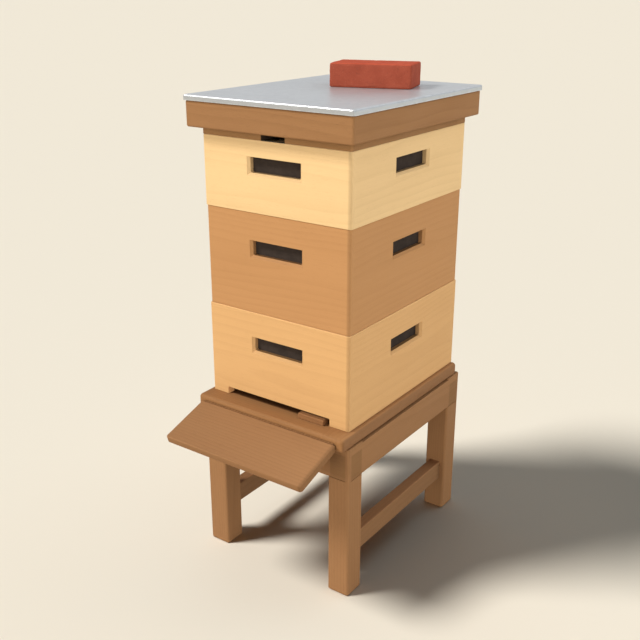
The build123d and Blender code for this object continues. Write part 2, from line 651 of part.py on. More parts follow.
with BuildPart() as cap:
    with BuildSketch(Plane.XY.offset(Z_BOARD)):
        with Locations((0, CY)):
            RectangleRounded(2 * CAP_HX, 2 * CAP_HY, CAP_CORNER)
    extrude(amount=ROOF_BOARD + CAP_T)
    fillet(edges().group_by(Axis.Z)[-1], CAP_R)
    offset(amount=-CAP_T, openings=faces().sort_by(Axis.Z)[0])
save(cap, "roof_metal_cap")

with BuildPart() as screws:
    for x, y in ROOF_SCREWS:
        countersunk(x, y, Z_BOARD + ROOF_BOARD, "-Z", 4.5, 3.0, 2.0, ROOF_BOARD + 28)
save(screws, "roof_screws")

# ---------------------------------------------------------------------------
# brick lying loose on the roof
# ---------------------------------------------------------------------------
turn = math.radians(BRICK_TURN)
with BuildPart() as brick:
    with BuildSketch(Plane(origin=(BRICK_X, BRICK_Y + CY, Z_CAP), x_dir=(math.cos(turn), math.sin(turn), 0),
                           z_dir=(0, 0, 1))):
        Rectangle(BRICK_L, BRICK_W)
    extrude(amount=BRICK_H)
    fillet(edges(), BRICK_R)
save(brick, "roof_brick")
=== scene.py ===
import math
import random

import bmesh
import bpy
from mathutils import Euler, Matrix, Vector, noise


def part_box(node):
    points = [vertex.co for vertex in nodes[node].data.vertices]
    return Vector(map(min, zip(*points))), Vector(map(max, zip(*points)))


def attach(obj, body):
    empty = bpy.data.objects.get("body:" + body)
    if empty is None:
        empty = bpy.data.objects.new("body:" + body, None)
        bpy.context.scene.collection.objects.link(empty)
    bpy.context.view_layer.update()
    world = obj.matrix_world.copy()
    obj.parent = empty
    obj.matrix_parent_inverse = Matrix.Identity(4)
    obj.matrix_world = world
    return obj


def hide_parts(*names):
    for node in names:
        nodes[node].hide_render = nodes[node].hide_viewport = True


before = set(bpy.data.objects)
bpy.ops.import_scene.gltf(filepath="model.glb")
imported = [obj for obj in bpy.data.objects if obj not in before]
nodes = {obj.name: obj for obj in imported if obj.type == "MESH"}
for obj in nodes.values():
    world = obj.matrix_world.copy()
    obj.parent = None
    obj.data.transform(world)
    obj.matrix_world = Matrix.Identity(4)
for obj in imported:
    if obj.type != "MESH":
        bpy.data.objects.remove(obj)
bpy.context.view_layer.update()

# ---------------------------------------------------------------- settings
# distant lights: name, strength, height and turn from straight ahead (to the right positive) in degrees,
# width in degrees, colour, what it lights
WHITE = (1.0, 1.0, 1.0)
COOL = (0.945, 1.005, 1.095)
SHADE = (0.90, 1.0, 1.09)
LIGHTS = [
    ("key", 3.21, 44.5, -44.0, 16.0, WHITE, "object"),
    ("floor_key", 3.58, 51.0, -48.0, 16.0, WHITE, "floor"),
    ("floor_above", 0.36, 75.0, 180.0, 60.0, SHADE, "floor"),
    ("floor_back_right", 0.16, 48.0, 150.0, 44.0, SHADE, "floor"),
    ("floor_back_left", 0.12, 66.0, -120.0, 40.0, SHADE, "floor"),
    ("low_front", 2.70, 6.0, 0.0, 40.0, WHITE, "object"),
    ("back_right", 2.52, 30.0, 150.0, 60.0, COOL, "object"),
    ("low_right_near", 1.33, 6.0, 60.0, 40.0, COOL, "object"),
    ("low_right_far", 0.92, 12.0, 90.0, 40.0, COOL, "object"),
]
EVEN = 0.03           # even light from all round
SHEEN = (0.55, 0.56, 0.57)   # surroundings as mirrored by shiny surfaces
FLOOR = (0.8150, 0.7398, 0.6113)
BACK = (0.887, 0.805, 0.665)

GRAIN = {"x": (0, 1, 2), "y": (1, 0, 2), "z": (2, 0, 1)}

# middle of the boxes' plan along y
b_lo, b_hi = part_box("middle_left_wall")
MID_Y = (b_lo.y + b_hi.y) / 2


# ---------------------------------------------------------------- node helpers
class Tree:
    """Short names for building one material's nodes."""

    def __init__(self, name):
        self.mat = bpy.data.materials.new(name)
        self.mat.use_nodes = True
        self.t = self.mat.node_tree
        self.t.nodes.clear()
        out = self.t.nodes.new("ShaderNodeOutputMaterial")
        self.bsdf = self.t.nodes.new("ShaderNodeBsdfPrincipled")
        self.t.links.new(self.bsdf.outputs[0], out.inputs[0])
        self.coord = self.t.nodes.new("ShaderNodeTexCoord").outputs["Object"]

    def put(self, socket, value):
        if isinstance(value, bpy.types.NodeSocket):
            self.t.links.new(value, socket)
        else:
            socket.default_value = value

    def math(self, op, a, b=None, c=None, clamp=False):
        n = self.t.nodes.new("ShaderNodeMath")
        n.operation = op
        n.use_clamp = clamp
        for i, v in enumerate((a, b, c)):
            if v is not None:
                self.put(n.inputs[i], v)
        return n.outputs[0]

    def add(self, *terms):
        total = terms[0]
        for t in terms[1:]:
            total = self.math("ADD", total, t)
        return total

    def mul(self, a, b):
        return self.math("MULTIPLY", a, b)

    def vec(self, op, a, b=None, scale=None):
        n = self.t.nodes.new("ShaderNodeVectorMath")
        n.operation = op
        self.put(n.inputs[0], a)
        if b is not None:
            self.put(n.inputs[1], b)
        if scale is not None:
            self.put(n.inputs["Scale"], scale)
        return n.outputs[1] if op in ("LENGTH", "DOT_PRODUCT", "DISTANCE") else n.outputs[0]

    def split(self, v):
        n = self.t.nodes.new("ShaderNodeSeparateXYZ")
        self.put(n.inputs[0], v)
        return n.outputs[0], n.outputs[1], n.outputs[2]

    def join(self, x, y, z):
        n = self.t.nodes.new("ShaderNodeCombineXYZ")
        for i, v in enumerate((x, y, z)):
            self.put(n.inputs[i], v)
        return n.outputs[0]

    def noise(self, v, scale, detail=2.0, rough=0.5, distort=0.0):
        n = self.t.nodes.new("ShaderNodeTexNoise")
        self.put(n.inputs["Vector"], v)
        n.inputs["Scale"].default_value = scale
        n.inputs["Detail"].default_value = detail
        n.inputs["Roughness"].default_value = rough
        n.inputs["Distortion"].default_value = distort
        return n.outputs[0]

    def cells(self, v, scale, feature="F1", out="Distance", jitter=1.0):
        n = self.t.nodes.new("ShaderNodeTexVoronoi")
        n.feature = feature
        self.put(n.inputs["Vector"], v)
        n.inputs["Scale"].default_value = scale
        n.inputs["Randomness"].default_value = jitter
        return n.outputs[out]

    def fit(self, v, a, b, lo=0.0, hi=1.0):
        n = self.t.nodes.new("ShaderNodeMapRange")
        n.interpolation_type = "SMOOTHSTEP"
        self.put(n.inputs[0], v)
        for i, x in zip((1, 2, 3, 4), (a, b, lo, hi)):
            self.put(n.inputs[i], x)
        return n.outputs[0]

    def ramp(self, v, stops):
        n = self.t.nodes.new("ShaderNodeValToRGB")
        e = n.color_ramp.elements
        while len(e) < len(stops):
            e.new(0.5)
        for i, (p, c) in enumerate(stops):
            e[i].position = p
            e[i].color = (c, c, c, 1) if not isinstance(c, tuple) else (*c, 1)
        self.put(n.inputs[0], v)
        return n.outputs[0]

    def mix(self, f, a, b, blend="MIX"):
        n = self.t.nodes.new("ShaderNodeMix")
        n.data_type = "RGBA"
        n.blend_type = blend
        self.put(n.inputs[0], f)
        for i, c in ((6, a), (7, b)):
            self.put(n.inputs[i], c if isinstance(c, bpy.types.NodeSocket) else (*c, 1))
        return n.outputs[2]

    def bump(self, height, distance, strength=1.0):
        n = self.t.nodes.new("ShaderNodeBump")
        n.inputs["Strength"].default_value = strength
        n.inputs["Distance"].default_value = distance
        self.put(n.inputs["Height"], height)
        self.put(self.bsdf.inputs["Normal"], n.outputs[0])

    def surface(self, color=None, rough=None, metal=None, spec=None):
        for key, v in (("Base Color", color), ("Roughness", rough), ("Metallic", metal),
                       ("Specular IOR Level", spec)):
            if v is not None:
                self.put(self.bsdf.inputs[key], v)


def tint(c, k):
    return tuple(min(max(a * b, 0.0), 1.0) for a, b in zip(c, k))


def edge_mask(t, lo, hi, width):
    """1 along the edges of a box-shaped board, 0 on its faces: the middle one of the three distances to
    the nearest face pair is small only near an edge."""
    x, y, z = t.split(t.coord)
    d = []
    for v, a, b in zip((x, y, z), lo, hi):
        mid, half = (a + b) / 2, (b - a) / 2
        d.append(t.math("SUBTRACT", half, t.math("ABSOLUTE", t.math("SUBTRACT", v, mid))))
    small = t.math("MINIMUM", d[0], d[1])
    big = t.math("MAXIMUM", d[0], d[1])
    median = t.math("MAXIMUM", small, t.math("MINIMUM", big, d[2]))
    return t.fit(median, 0.0, width, 1.0, 0.0)


def grain(t, axis, centre, seed, ring=0.0085, slant=0.0):
    """Growth rings, fibres and slow changes of tone for a board whose length runs along axis.
    Returns (late wood 0..1, fibres 0..1, broad tone 0..1)."""
    r = random.Random(seed)
    p = t.split(t.coord)
    i, j, k = GRAIN[axis]
    a = t.math("ADD", p[i], r.uniform(-5, 5))
    far = r.uniform(0.06, 0.13) * r.choice((-1, 1))
    near = r.uniform(-0.05, 0.05)
    if axis == "x":
        dj, dk = far, near
    elif axis == "y":
        dj, dk = far, near
    else:
        dj, dk = far, near * 2
    b = t.math("SUBTRACT", p[j], centre[j] + dj)
    c = t.math("SUBTRACT", p[k], centre[k] + dk)
    if slant:
        b = t.add(b, t.mul(p[i], slant))
    slow = t.noise(t.join(t.mul(a, 1.3), t.mul(b, 7.0), t.mul(c, 7.0)), 1.0, 2.0, 0.45)
    radius = t.math("SQRT", t.add(t.mul(b, b), t.mul(c, c)))
    radius = t.add(radius, t.mul(t.math("SUBTRACT", slow, 0.5), 0.045))
    turn = t.math("FRACT", t.math("DIVIDE", radius, ring))
    late = t.ramp(turn, [(0.0, 0.02), (0.45, 0.18), (0.80, 0.80), (0.90, 1.0), (0.975, 0.30), (1.0, 0.02)])
    fib = t.noise(t.join(t.mul(a, 9.0), t.mul(b, 620.0), t.mul(c, 620.0)), 1.0, 2.5, 0.6)
    broad = t.noise(t.join(t.mul(a, 2.2), t.mul(b, 11.0), t.mul(c, 11.0)), 1.0, 2.0, 0.5)
    return late, fib, broad


def wood(node, axis, base, seed, k=0.10, ring=0.0085, rough=0.62, wear=0.30, wear_w=0.003, slant=0.0,
         shade=None, bump=0.00035, end_dark=0.0):
    """A stained board: base is the average colour; k the strength of the figure; shade, if given, is a
    function of the tree that returns (mask, colour factor) for each part of the board in another tone, mostly painted
    shade or painted light."""
    t = Tree("wood_" + node)
    lo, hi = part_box(node)
    centre = (lo + hi) / 2
    late, fib, broad = grain(t, axis, centre, seed, ring, slant)
    f = t.add(0.40, t.mul(t.math("SUBTRACT", late, 0.36), 0.42), t.mul(t.math("SUBTRACT", fib, 0.5), 0.75),
              t.mul(t.math("SUBTRACT", broad, 0.5), 0.85))
    f = t.math("MULTIPLY", f, 1.0, clamp=True)
    dark = tint(base, (1 - 1.2 * k, 1 - 1.45 * k, 1 - 1.7 * k))
    light = tint(base, (1 + 0.8 * k, 1 + 0.95 * k, 1 + 1.1 * k))
    col = t.mix(f, light, dark)
    # pores: short dark dashes along the fibres
    p = t.split(t.coord)
    i, j, kk = GRAIN[axis]
    dash = t.noise(t.join(t.mul(p[i], 60.0), t.mul(p[j], 1500.0), t.mul(p[kk], 1500.0)), 1.0, 1.0, 0.5)
    dash = t.fit(dash, 0.66, 0.76)
    col = t.mix(t.mul(dash, 0.30), col, tint(base, (0.62, 0.55, 0.48)))
    # the extra tones: mostly painted shade and painted light
    for mask, factor in (shade(t) if shade is not None else ()):
        col = t.mix(mask, col, t.mix(1.0, col, factor, "MULTIPLY"))
    rub = t.noise(t.coord, 55.0, 3.0, 0.6)
    edge = t.mul(edge_mask(t, lo, hi, wear_w), t.fit(rub, 0.42, 0.62))
    col = t.mix(t.mul(edge, wear), col, tint(base, (1.17, 1.16, 1.14)))
    smudge = t.fit(t.noise(t.coord, 9.0, 3.0, 0.6), 0.30, 0.75)
    rgh = t.add(rough - 0.06, t.mul(fib, 0.12), t.mul(edge, 0.10), t.mul(smudge, 0.06))
    t.surface(col, rgh, spec=0.14)
    t.bump(t.add(t.mul(late, 0.45), t.mul(fib, 0.75), t.mul(dash, -0.8)), bump, 0.8)
    give(node, t.mat)
    return t


def give(node, mat):
    me = nodes[node].data
    me.materials.clear()
    me.materials.append(mat)


# ---------------------------------------------------------------- colours (linear, the average of each piece)
C_BROOD = (0.5068, 0.2840, 0.1144)
C_MID = (0.3819, 0.1892, 0.0723)
C_TOP = (0.6021, 0.3983, 0.1871)
C_STAND = (0.2369, 0.1150, 0.0465)
C_RAIL = (0.1951, 0.0962, 0.0404)
C_FLOOR = (0.2795, 0.1323, 0.0495)
C_LAND = (0.2692, 0.1320, 0.0542)
C_RED = (0.2115, 0.0945, 0.0360)
C_COVER = (0.2451, 0.1215, 0.0458)
C_ROOF = (0.2456, 0.1185, 0.0461)
C_PINE = (0.560, 0.385, 0.205)


# ---------------------------------------------------------------- boxes
ENT_X0, ENT_X1 = -0.159, 0.1535     # ends of the entrance
SLOT = 0.071          # half the length of a hand-hold inside its bevel
RIM = 0.006           # width and depth of that bevel


def out_of(t, v, a, b):
    """1 below a, 0 above b."""
    return t.fit(v, a, b, 1.0, 0.0)


def all_of(t, *masks):
    total = masks[0]
    for m in masks[1:]:
        total = t.mul(total, m)
    return total


def wall_tones(box_name, side):
    """The inside of a wall is a little darker. The hand-holds carry painted shade: the floor of the slot much darker,
    its sides and lower bevel a little darker; the rounded right-hand corners carry painted shade a tone darker."""
    lo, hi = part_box(f"{box_name}_{side}_wall")
    p_lo, p_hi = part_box(f"{box_name}_handhold_plugs")
    zc, half = (p_lo.z + p_hi.z) / 2, (p_hi.z - p_lo.z) / 2

    def shade(t):
        x, y, z = t.split(t.coord)
        v, start, turn = {"front": (y, lo.y, 1), "rear": (y, hi.y, -1), "left": (x, lo.x, 1),
                          "right": (x, hi.x, -1)}[side]
        depth = t.mul(t.math("SUBTRACT", v, start), float(turn))
        along = t.math("ABSOLUTE", x if side in ("front", "rear") else t.math("SUBTRACT", y, MID_Y))
        rise = t.math("SUBTRACT", z, zc)
        inside_tone = t.fit(depth, 0.0195, 0.0215)
        hold = all_of(t, out_of(t, along, SLOT + RIM + 0.0002, SLOT + RIM + 0.0008),
                      out_of(t, t.math("ABSOLUTE", rise), half + RIM + 0.0002, half + RIM + 0.0008),
                      t.fit(depth, 0.0002, 0.0006), out_of(t, depth, 0.0195, 0.0210))
        past = t.math("MAXIMUM", t.math("SUBTRACT", along, SLOT), 0.0)
        lower = t.fit(t.math("SUBTRACT", t.math("SUBTRACT", t.mul(rise, -1.0), half), past), -0.0006, 0.0)
        deep = t.fit(depth, RIM - 0.0004, RIM + 0.0008)
        sides = t.math("SUBTRACT", 1.0, lower)
        # painted shade in the hand-hold slot and on its lower bevel
        tones = [(inside_tone, (0.92, 0.86, 0.78)),
                 (all_of(t, hold, deep, lower), SLOT_FLOOR_SHADE),
                 (all_of(t, hold, deep, sides), SLOT_SIDES_SHADE),
                 (all_of(t, hold, lower, t.math("SUBTRACT", 1.0, deep)), LOWER_BEVEL_SHADE)]
        if side in ("front", "rear"):
            # painted shade along the rounded right-hand corner
            corner = all_of(t, t.fit(x, hi.x - 0.0116, hi.x - 0.0056), out_of(t, depth, 0.0003, 0.0044))
            tones.append((corner, CORNER_SHADE))
        # painted light: the brood box's top edge strip is painted lighter
        if box_name == "brood":
            tones.append((t.fit(z, hi.z - 0.0017, hi.z - 0.0007), (1.15, 1.18, 1.24)))
        if (box_name, side) == ("brood", "front"):
            # painted light on the entrance's left jamb, which lies in shade
            jamb_light = all_of(t, out_of(t, t.math("ABSOLUTE", t.math("SUBTRACT", x, ENT_X0)), 0.0004, 0.0008),
                         out_of(t, z, lo.z + 0.0170, lo.z + 0.0200), t.fit(depth, 0.0004, 0.0010))
            tones.append((jamb_light, (1.60, 1.42, 1.30)))
        if (box_name, side) == ("top", "front"):
            # painted shade on the wall's top edge under the vent notch
            tones.append((all_of(t, t.fit(z, hi.z - 0.0006, hi.z - 0.0003), in_vent(t, x), t.fit(depth, 0.001, 0.003)),
                          VENT_SHADE))
        return tones
    return shade


# colour factors of painted shade on the corners, in the hand-holds and in the vent
CORNER_SHADE = (0.77, 0.77, 0.77)
LOWER_BEVEL_SHADE = (0.92, 0.91, 0.90)
SLOT_FLOOR_SHADE = (0.34, 0.32, 0.30)
SLOT_SIDES_SHADE = (0.85, 0.82, 0.80)
VENT_SHADE = (0.30, 0.38, 0.60)
VENT_X0, VENT_X1, VENT_H = -0.0345, 0.0325, 0.014


def in_vent(t, x):
    """1 between the two sides of the vent notch."""
    mid, reach = (VENT_X0 + VENT_X1) / 2, (VENT_X1 - VENT_X0) / 2
    return out_of(t, t.math("ABSOLUTE", t.math("SUBTRACT", x, mid)), reach + 0.0003, reach + 0.0006)


def vent_painted_shade(t):
    """The notch in the inner cover's front rim is painted dark inside as shade."""
    lo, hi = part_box("inner_cover_rim_front")
    x, y, z = t.split(t.coord)
    return [(all_of(t, in_vent(t, x), out_of(t, z, lo.z + VENT_H + 0.0003, lo.z + VENT_H + 0.0006),
                    t.fit(t.math("SUBTRACT", y, lo.y), 0.0006, 0.0016)), VENT_SHADE)]


seed = 11
for box_name, base in (("brood", C_BROOD), ("middle", C_MID), ("top", C_TOP)):
    for side, axis in (("front", "x"), ("rear", "x"), ("left", "y"), ("right", "y")):
        seed += 7
        wood(f"{box_name}_{side}_wall", axis, base, seed, k=0.055, ring=0.0105, rough=0.64,
             shade=wall_tones(box_name, side), bump=0.00024)

# ---------------------------------------------------------------- stand
for n in ("leg_front_left", "leg_front_right", "leg_rear_left", "leg_rear_right"):
    seed += 7
    wood(n, "z", C_STAND, seed, k=0.085, ring=0.007)


def lit_upper_side(node, factor):
    """The upper side of a rail in another tone than its sides: painted light, lighter than the sides."""
    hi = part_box(node)[1]

    def shade(t):
        return [(t.fit(t.split(t.coord)[2], hi.z - 0.0014, hi.z - 0.0005), factor)]
    return shade


def apron_end_shade(axis):
    """The ends of an apron, let into the legs, are painted darker: painted shade where apron and leg overlap."""
    def shade(t):
        p = t.split(t.coord)
        along = t.math("ABSOLUTE", t.math("SUBTRACT", p[0 if axis == "x" else 1], 0.0 if axis == "x" else MID_Y))
        edge = 0.1695 if axis == "x" else 0.2215
        mask = t.fit(along, edge - 0.0008, edge + 0.0008)
        low = t.fit(p[2], 0.3880, 0.3920, 1.0, 0.0)
        return [(t.mul(mask, low), (0.82, 0.82, 0.78))]
    return shade


for n, axis in (("apron_front", "x"), ("apron_rear", "x"), ("apron_left", "y"), ("apron_right", "y")):
    seed += 7
    wood(n, axis, C_STAND, seed, k=0.085, ring=0.0075, shade=apron_end_shade(axis))
# the stretchers' upper sides carry painted light
for n in ("stretcher_left", "stretcher_right"):
    seed += 7
    wood(n, "y", C_RAIL, seed, k=0.085, ring=0.0075, shade=lit_upper_side(n, (1.26, 1.16, 1.10)))
wood("stretcher_pegs", "x", tint(C_STAND, (0.72, 0.70, 0.66)), 501, k=0.14, ring=0.004, wear=0.1)

# ---------------------------------------------------------------- floor, landing board, entrance
def floor_painted_shade(t):
    """Painted shade: the floor's front and side edges are a tone darker than its upper side, and behind the entrance
    it is painted dark as shade.
    """
    y0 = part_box("brood_front_wall")[0].y
    x, y, z = t.split(t.coord)
    mid, reach = (ENT_X0 + ENT_X1) / 2, (ENT_X1 - ENT_X0) / 2
    across = out_of(t, t.math("ABSOLUTE", t.math("SUBTRACT", x, mid)), reach - 0.0004, reach + 0.0004)
    front = out_of(t, t.math("SUBTRACT", y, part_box("floor_rail_front")[0].y), 0.0040, 0.0085)
    side = t.fit(t.math("ABSOLUTE", x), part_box("floor_rail_right")[1].x - 0.0050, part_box("floor_rail_right")[1].x - 0.0010)
    inward = t.math("SUBTRACT", y, y0)
    # painted shade behind the entrance and along the side and front edges
    return [(all_of(t, across, t.fit(inward, 0.0065, 0.0120), out_of(t, inward, 0.060, 0.110)), (0.24, 0.205, 0.18)),
            (side, (0.72, 0.72, 0.78)), (front, (0.86, 0.84, 0.81))]


for n, axis in (("floor_rail_left", "y"), ("floor_rail_right", "y"), ("floor_rail_front", "x"),
                ("floor_rail_rear", "x"), ("floor_panel", "y")):
    seed += 7
    wood(n, axis, C_FLOOR, seed, k=0.085, ring=0.0085, shade=floor_painted_shade)
wood("landing_brackets", "y", C_FLOOR, 601, k=0.12, ring=0.006)


def landing_edge_shade(t):
    """Painted shade: the landing board's front and end faces are a tone darker than its upper side, and so is its
    right-hand edge.
    """
    lo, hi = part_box("landing_board")
    slope = math.radians(18.01)
    x, y, z = t.split(t.coord)
    down = t.add(t.mul(t.math("SUBTRACT", hi.y, y), math.cos(slope)), t.mul(t.math("SUBTRACT", hi.z, z), math.sin(slope)))
    front = t.fit(down, 0.1406, 0.1422)
    ends = t.fit(t.math("ABSOLUTE", x), hi.x - 0.0024, hi.x - 0.0010)
    shaded_end_band = t.mul(t.fit(x, hi.x - 0.0125, hi.x - 0.0020), t.math("SUBTRACT", 1.0, ends))
    # painted shade on the front face, the end faces and the band along the right-hand end
    return [(t.mul(front, t.math("SUBTRACT", 1.0, ends)), FRONT_EDGE_SHADE), (shaded_end_band, END_BAND_SHADE), (ends, END_FACE_SHADE)]


# colour factors of the landing board's painted shade
FRONT_EDGE_SHADE = (0.80, 0.77, 0.72)
END_FACE_SHADE = (0.72, 0.69, 0.65)
END_BAND_SHADE = (0.70, 0.69, 0.67)


wood("landing_board", "x", C_LAND, 607, k=0.085, ring=0.0095, wear=0.10, wear_w=0.002, shade=landing_edge_shade)
wood("entrance_reducer", "x", C_RED, 613, k=0.13, ring=0.005)

# ---------------------------------------------------------------- inner cover and roof
for n, axis in (("inner_cover_rim_front", "x"), ("inner_cover_rim_rear", "x"), ("inner_cover_side_rims", "y"),
                ("inner_cover_panel", "y")):
    seed += 7
    wood(n, axis, C_COVER, seed, k=0.09, ring=0.008, shade=vent_painted_shade if n == "inner_cover_rim_front" else None)
for n, axis in (("roof_skirt_front", "x"), ("roof_skirt_rear", "x"), ("roof_skirt_left", "y"),
                ("roof_skirt_right", "y"), ("roof_rest_battens", "y"), ("roof_board", "y")):
    seed += 7
    wood(n, axis, C_ROOF, seed, k=0.085, ring=0.0085)


# ---------------------------------------------------------------- hand-hold backs, near-black as painted shade
def plugs(node, seed):
    t = Tree("dark_" + node)
    r = random.Random(seed)
    v = t.vec("ADD", t.coord, (r.uniform(-3, 3), r.uniform(-3, 3), r.uniform(-3, 3)))
    blot = t.noise(v, 38.0, 3.0, 0.6)
    brush = t.noise(t.vec("MULTIPLY", v, (30.0, 30.0, 420.0)), 1.0, 2.0, 0.55)
    f = t.math("ADD", t.mul(blot, 0.7), t.mul(brush, 0.3), clamp=True)
    # near-black colour: painted shade standing for the depth of the hand-hold
    t.surface(t.mix(t.fit(f, 0.3, 0.7), (0.0235, 0.0165, 0.0125), (0.037, 0.026, 0.0197)),
              t.add(0.66, t.mul(brush, 0.25)), spec=0.12)
    t.bump(t.add(brush, t.mul(blot, 0.5)), 0.0004, 0.7)
    give(node, t.mat)


for i, b in enumerate(("brood", "middle", "top")):
    plugs(f"{b}_handhold_plugs", 700 + i)


# ---------------------------------------------------------------- frames and combs
def frame_wood(node, seed):
    """Pale pine sticks: bars along y, end bars upright."""
    t = Tree("pine_" + node)
    lo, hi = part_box(node)
    centre = (lo + hi) / 2
    late, fib, broad = grain(t, "y", centre, seed, 0.0045)
    late2, fib2, broad2 = grain(t, "z", centre, seed + 1, 0.0045)
    x, y, z = t.split(t.coord)
    reach = t.math("ABSOLUTE", t.math("SUBTRACT", y, MID_Y))
    up = t.mul(t.fit(reach, 0.2140, 0.2146), t.fit(z, hi.z - 0.0105, hi.z - 0.0095, 1.0, 0.0))

    def pick(a, b):
        return t.add(t.mul(a, t.math("SUBTRACT", 1.0, up)), t.mul(b, up))
    lt, fb, br = pick(late, late2), pick(fib, fib2), pick(broad, broad2)
    # each stick its own tone: steps with the frames' 35 mm pitch
    idx = t.math("FLOOR", t.math("DIVIDE", t.math("ADD", x, 5.0), 0.035))
    white = t.t.nodes.new("ShaderNodeTexWhiteNoise")
    white.noise_dimensions = "1D"
    t.put(white.inputs["W"], idx)
    f = t.math("ADD", 0.40, t.add(t.mul(t.math("SUBTRACT", lt, 0.36), 0.5), t.mul(t.math("SUBTRACT", fb, 0.5), 0.6),
                                 t.mul(t.math("SUBTRACT", br, 0.5), 0.6),
                                 t.mul(t.math("SUBTRACT", white.outputs["Value"], 0.5), 0.45)), clamp=True)
    col = t.mix(f, tint(C_PINE, (1.12, 1.14, 1.16)), tint(C_PINE, (0.80, 0.74, 0.66)))
    # wax and propolis smears
    smear = t.fit(t.noise(t.coord, 24.0, 4.0, 0.65), 0.56, 0.70)
    col = t.mix(t.mul(smear, 0.45), col, (0.40, 0.20, 0.06))
    t.surface(col, t.add(0.55, t.mul(fb, 0.18), t.mul(smear, -0.15)), spec=0.35)
    t.bump(t.add(t.mul(lt, 0.4), t.mul(fb, 0.7), t.mul(smear, 0.8)), 0.0004, 0.8)
    give(node, t.mat)


for i, b in enumerate(("brood", "middle", "top")):
    frame_wood(f"{b}_frame_sticks", 800 + 10 * i)


def wax(name, seed):
    """Golden comb, darker and paler in patches."""
    t = Tree(name)
    r = random.Random(seed)
    v = t.vec("ADD", t.coord, (r.uniform(-3, 3), r.uniform(-3, 3), r.uniform(-3, 3)))
    patch = t.noise(v, 9.0, 3.0, 0.6)
    fine = t.noise(v, 160.0, 2.0, 0.6)
    cell = t.cells(v, 180.0)
    f = t.math("ADD", t.mul(t.fit(patch, 0.3, 0.7), 0.8), t.mul(fine, 0.2), clamp=True)
    col = t.mix(f, (0.62, 0.36, 0.085), (0.34, 0.155, 0.035))
    col = t.mix(t.fit(cell, 0.0, 0.35, 0.35, 0.0), col, (0.72, 0.47, 0.16))
    t.surface(col, t.add(0.36, t.mul(fine, 0.25)), spec=0.45)
    t.bump(t.add(fine, t.mul(cell, 0.5)), 0.0005, 0.7)
    return t.mat


def piece(name, verts, faces, mat, body, node, smooth=False):
    """A new mesh that stands for a CAD node and moves with its body."""
    me = bpy.data.meshes.new(name)
    me.from_pydata(verts, [], faces)
    bm = bmesh.new()
    bm.from_mesh(me)
    bmesh.ops.remove_doubles(bm, verts=bm.verts, dist=1e-6)
    bmesh.ops.recalc_face_normals(bm, faces=bm.faces)
    bm.to_mesh(me)
    bm.free()
    if smooth:
        for f in me.polygons:
            f.use_smooth = True
    me.materials.append(mat)
    ob = bpy.data.objects.new(name, me)
    bpy.context.scene.collection.objects.link(ob)
    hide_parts(node)
    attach(ob, body)
    return ob


CELL = 0.0060         # width of a cell
COMB_N, PITCH, COMB_T = 10, 0.035, 0.024


def cells_on(verts, faces, x, out, y0, y1, z0, z1, rnd):
    """Open six-sided cells on one face of a comb; out is +1 or -1, x the outermost plane. The cells of the
    upper corners are closed with flat caps."""
    core = x - out * 0.0060
    rad = CELL / math.sqrt(3)
    step = 1.5 * rad
    rows = int((z1 - z0 - 2 * rad) / step) + 1
    edges = {}
    z_start = z0 + rad + ((z1 - z0 - 2 * rad) - (rows - 1) * step) / 2
    for r in range(rows):
        zc = z_start + r * step
        shift = CELL / 2 if r % 2 else 0.0
        n = int((y1 - y0 - CELL - shift) / CELL) + 1
        for c in range(n):
            yc = y0 + CELL / 2 + shift + c * CELL
            v = noise.noise(Vector((x * 3.0 + 7.0, yc * 9.0, zc * 9.0)))
            up = (zc - z0) / (z1 - z0)
            far = abs(2 * (yc - y0) / (y1 - y0) - 1)
            closed = up + 0.45 * far + 0.5 * v > 1.02
            dip = 0.0006 + 0.0003 * rnd.random() if closed else 0.0045 + 0.0012 * rnd.random()
            width = 0.80 if closed else 0.70
            lean = [(yc + rad * math.sin(math.pi / 3 * k), zc + rad * math.cos(math.pi / 3 * k)) for k in range(6)]
            rim = 0.0004 * (0.5 + 0.5 * noise.noise(Vector((yc * 40, zc * 40, 3.0))))
            base = len(verts)
            for y, z in lean:
                verts.append((x - out * 0.0004 * (0.5 + 0.5 * noise.noise(Vector((y * 40, z * 40, 3.0)))), y, z))
            for y, z in lean:
                verts.append((x - out * (dip + rim), yc + (y - yc) * width, zc + (z - zc) * width))
            for k in range(6):
                m = (k + 1) % 6
                faces.append((base + k, base + m, base + 6 + m, base + 6 + k))
                mid = ((lean[k][0] + lean[m][0]) / 2, (lean[k][1] + lean[m][1]) / 2)
                key = (round(mid[0] * 20000), round(mid[1] * 20000))
                edges[key] = None if key in edges else (base + k, base + m)
            faces.append(tuple(base + 6 + k for k in range(6)))
    # close the outline down to the core
    for e in edges.values():
        if e is None:
            continue
        a, b = verts[e[0]], verts[e[1]]
        base = len(verts)
        verts.append((core, a[1], a[2]))
        verts.append((core, b[1], b[2]))
        faces.append((e[0], e[1], base + 1, base))
    return core


def wavy_side(verts, faces, x, out, y0, y1, z0, z1):
    """A gently wavy comb face that lies between two neighbouring combs."""
    ny, nz = 40, 16
    base = len(verts)
    for j in range(nz + 1):
        for i in range(ny + 1):
            y, z = y0 + (y1 - y0) * i / ny, z0 + (z1 - z0) * j / nz
            v = 0.5 + 0.5 * noise.noise(Vector((x * 30, y * 22, z * 22)))
            verts.append((x - out * 0.0025 * v, y, z))
    for j in range(nz):
        for i in range(ny):
            a = base + j * (ny + 1) + i
            faces.append((a, a + 1, a + ny + 2, a + ny + 1))


